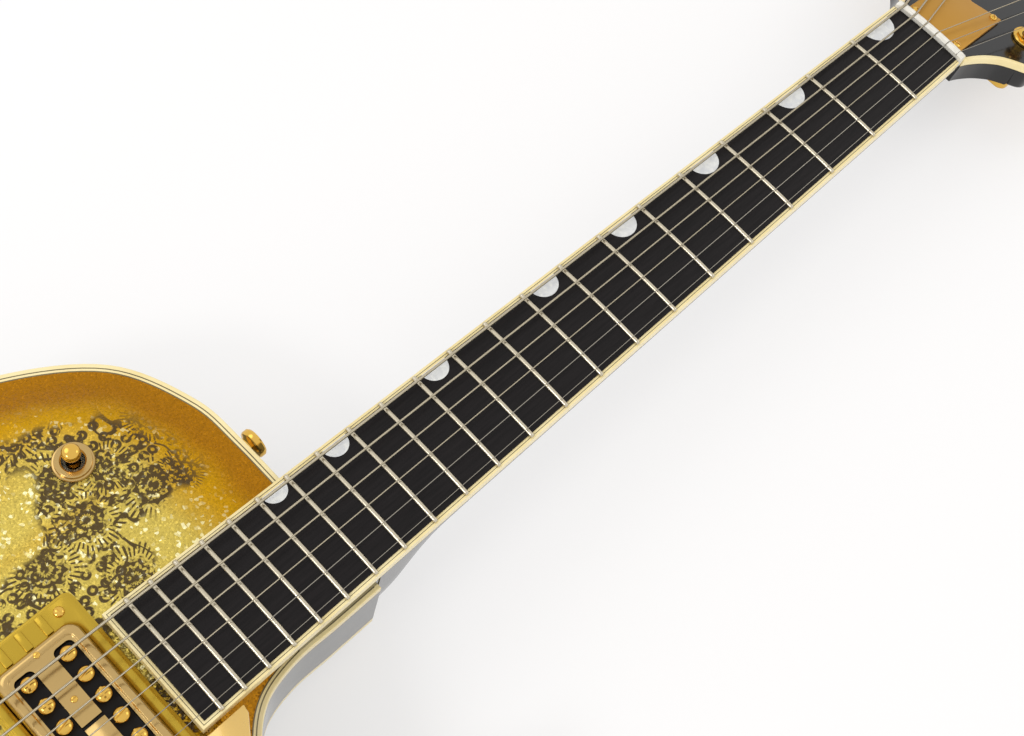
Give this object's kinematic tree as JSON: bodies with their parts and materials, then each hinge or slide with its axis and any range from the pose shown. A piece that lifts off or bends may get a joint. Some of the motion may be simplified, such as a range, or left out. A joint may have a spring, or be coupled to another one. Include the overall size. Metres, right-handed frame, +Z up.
{
  "type": "hollow-body electric guitar",
  "caption": "Thin hollow-body electric guitar with a single cutaway, gold sparkle arched top, black sides, bound neck and headstock, two pickups and a vibrato tailpiece.",
  "frame": {"origin": "under the middle of the guitar, half-way along it and across it, on the plane that its back rests on", "axes": "+X from the tail towards the tip of the headstock, +Y towards the bass side, +Z up out of the top"},
  "size_m": [1.0916, 0.4096, 0.1154],
  "materials": {
    "black_gloss": "black gloss lacquer over maple",
    "bone": "polished white bone",
    "cream_binding": "polished cream celluloid",
    "ebony": "oiled near-black wood",
    "gold_plastic": "metallic gold under clear acrylic",
    "gold_plate": "polished gold plate",
    "gold_sparkle": "gold sparkle lacquer, darker at the edge",
    "maple": "bare wood",
    "nickel_steel": "plain nickel-plated steel",
    "wound_steel": "nickel-wound and plain steel string"
  },
  "bodies": {
    "guitar": {"back": "black_gloss", "back_binding": "cream_binding", "bridge_bar": "gold_plate", "bridge_base": "ebony", "bridge_pickup": "gold_plate", "bridge_pickup_bezel": "gold_plate", "control_harness": "nickel_steel", "fingerboard": "ebony", "fingerboard_binding": "cream_binding", "headstock_binding": "cream_binding", "neck": "black_gloss", "neck_block": "maple", "neck_pickup": "gold_plate", "neck_pickup_bezel": "gold_plate", "nut": "bone", "output_jack": "gold_plate", "pickguard": "gold_plastic", "rim_bass": "black_gloss", "rim_treble": "black_gloss", "strap_button_front": "gold_plate", "strap_button_tail": "gold_plate", "string_1": "wound_steel", "string_2": "wound_steel", "string_3": "wound_steel", "string_4": "wound_steel", "string_5": "wound_steel", "string_6": "wound_steel", "tail_block": "maple", "toggle_switch": "gold_plate", "top": "gold_sparkle", "top_binding": "cream_binding", "truss_rod": "nickel_steel", "truss_rod_cover": "gold_plate", "tuner_housing_1": "gold_plate", "tuner_housing_2": "gold_plate", "tuner_housing_3": "gold_plate", "tuner_housing_4": "gold_plate", "tuner_housing_5": "gold_plate", "tuner_housing_6": "gold_plate", "vibrato_frame": "gold_plate", "vibrato_spring": "nickel_steel"},
    "toggle_lever_body": {"toggle_lever": "gold_plate"},
    "vibrato_rocker_body": {"vibrato_rocker": "gold_plate"},
    "vibrato_arm_body": {"vibrato_arm": "gold_plate"},
    "master_volume_knob_body": {"master_volume_knob": "gold_plate"},
    "neck_volume_knob_body": {"neck_volume_knob": "gold_plate"},
    "bridge_volume_knob_body": {"bridge_volume_knob": "gold_plate"},
    "tone_knob_body": {"tone_knob": "gold_plate"},
    "tuner_post_1_body": {"tuner_post_1": "gold_plate"},
    "tuner_post_2_body": {"tuner_post_2": "gold_plate"},
    "tuner_post_3_body": {"tuner_post_3": "gold_plate"},
    "tuner_post_4_body": {"tuner_post_4": "gold_plate"},
    "tuner_post_5_body": {"tuner_post_5": "gold_plate"},
    "tuner_post_6_body": {"tuner_post_6": "gold_plate"},
    "tuner_button_1_body": {"tuner_button_1": "gold_plate"},
    "tuner_button_2_body": {"tuner_button_2": "gold_plate"},
    "tuner_button_3_body": {"tuner_button_3": "gold_plate"},
    "tuner_button_4_body": {"tuner_button_4": "gold_plate"},
    "tuner_button_5_body": {"tuner_button_5": "gold_plate"},
    "tuner_button_6_body": {"tuner_button_6": "gold_plate"}
  },
  "joints": [
    {"name": "tuner_1_turn", "type": "hinge", "parent": "guitar", "child": "tuner_button_1_body", "pos_m": [0.424, 0.0338, 0.0255], "axis": [0, 1, 0], "continuous": true},
    {"name": "post_1_turn", "type": "hinge", "parent": "guitar", "child": "tuner_post_1_body", "pos_m": [0.42059, 0.0338, 0.04647], "axis": [0.2079, 0, 0.9781], "continuous": true},
    {"name": "tuner_2_turn", "type": "hinge", "parent": "guitar", "child": "tuner_button_2_body", "pos_m": [0.46117, 0.0328, 0.0176], "axis": [0, 1, 0], "continuous": true},
    {"name": "post_2_turn", "type": "hinge", "parent": "guitar", "child": "tuner_post_2_body", "pos_m": [0.45776, 0.0328, 0.03857], "axis": [0.2079, 0, 0.9781], "continuous": true},
    {"name": "tuner_3_turn", "type": "hinge", "parent": "guitar", "child": "tuner_button_3_body", "pos_m": [0.49834, 0.0318, 0.0097], "axis": [0, 1, 0], "continuous": true},
    {"name": "post_3_turn", "type": "hinge", "parent": "guitar", "child": "tuner_post_3_body", "pos_m": [0.49493, 0.0318, 0.03067], "axis": [0.2079, 0, 0.9781], "continuous": true},
    {"name": "tuner_4_turn", "type": "hinge", "parent": "guitar", "child": "tuner_button_4_body", "pos_m": [0.49834, -0.0282, 0.0097], "axis": [0, 1, 0], "continuous": true},
    {"name": "post_4_turn", "type": "hinge", "parent": "guitar", "child": "tuner_post_4_body", "pos_m": [0.49493, -0.0282, 0.03067], "axis": [0.2079, 0, 0.9781], "continuous": true},
    {"name": "tuner_5_turn", "type": "hinge", "parent": "guitar", "child": "tuner_button_5_body", "pos_m": [0.46117, -0.0292, 0.0176], "axis": [0, 1, 0], "continuous": true},
    {"name": "post_5_turn", "type": "hinge", "parent": "guitar", "child": "tuner_post_5_body", "pos_m": [0.45776, -0.0292, 0.03857], "axis": [0.2079, 0, 0.9781], "continuous": true},
    {"name": "tuner_6_turn", "type": "hinge", "parent": "guitar", "child": "tuner_button_6_body", "pos_m": [0.424, -0.0302, 0.0255], "axis": [0, 1, 0], "continuous": true},
    {"name": "post_6_turn", "type": "hinge", "parent": "guitar", "child": "tuner_post_6_body", "pos_m": [0.42059, -0.0302, 0.04647], "axis": [0.2079, 0, 0.9781], "continuous": true},
    {"name": "master_volume_turn", "type": "hinge", "parent": "guitar", "child": "master_volume_knob_body", "pos_m": [-0.08549, -0.1112, 0.06156], "axis": [0, 0, 1], "range_deg": [-145, 145]},
    {"name": "neck_volume_turn", "type": "hinge", "parent": "guitar", "child": "neck_volume_knob_body", "pos_m": [-0.37149, -0.1102, 0.0682], "axis": [0, 0, 1], "range_deg": [-145, 145]},
    {"name": "bridge_volume_turn", "type": "hinge", "parent": "guitar", "child": "bridge_volume_knob_body", "pos_m": [-0.40949, -0.1182, 0.0682], "axis": [0, 0, 1], "range_deg": [-145, 145]},
    {"name": "tone_turn", "type": "hinge", "parent": "guitar", "child": "tone_knob_body", "pos_m": [-0.44549, -0.1022, 0.0682], "axis": [0, 0, 1], "range_deg": [-145, 145]},
    {"name": "pickup_selector", "type": "hinge", "parent": "guitar", "child": "toggle_lever_body", "pos_m": [-0.07789, 0.0865, 0.067], "axis": [1, 0, 0], "range_deg": [-13, 13]},
    {"name": "vibrato_rock", "type": "hinge", "parent": "guitar", "child": "vibrato_rocker_body", "pos_m": [-0.44749, 0.0018, 0.0765], "axis": [0, 1, 0], "range_deg": [-3, 5], "stiffness_Nm_per_rad": 20, "deforming": ["vibrato_spring"]},
    {"name": "vibrato_arm_swing", "type": "hinge", "parent": "vibrato_rocker_body", "child": "vibrato_arm_body", "pos_m": [-0.41349, -0.0472, 0.091], "axis": [0, 0, 1], "range_deg": [-150, 15]}
  ],
  "couplings": [
    {"joint": "post_1_turn", "follows": "tuner_1_turn", "ratio": 0.066667},
    {"joint": "post_2_turn", "follows": "tuner_2_turn", "ratio": 0.066667},
    {"joint": "post_3_turn", "follows": "tuner_3_turn", "ratio": 0.066667},
    {"joint": "post_4_turn", "follows": "tuner_4_turn", "ratio": -0.066667},
    {"joint": "post_5_turn", "follows": "tuner_5_turn", "ratio": -0.066667},
    {"joint": "post_6_turn", "follows": "tuner_6_turn", "ratio": -0.066667}
  ]
}
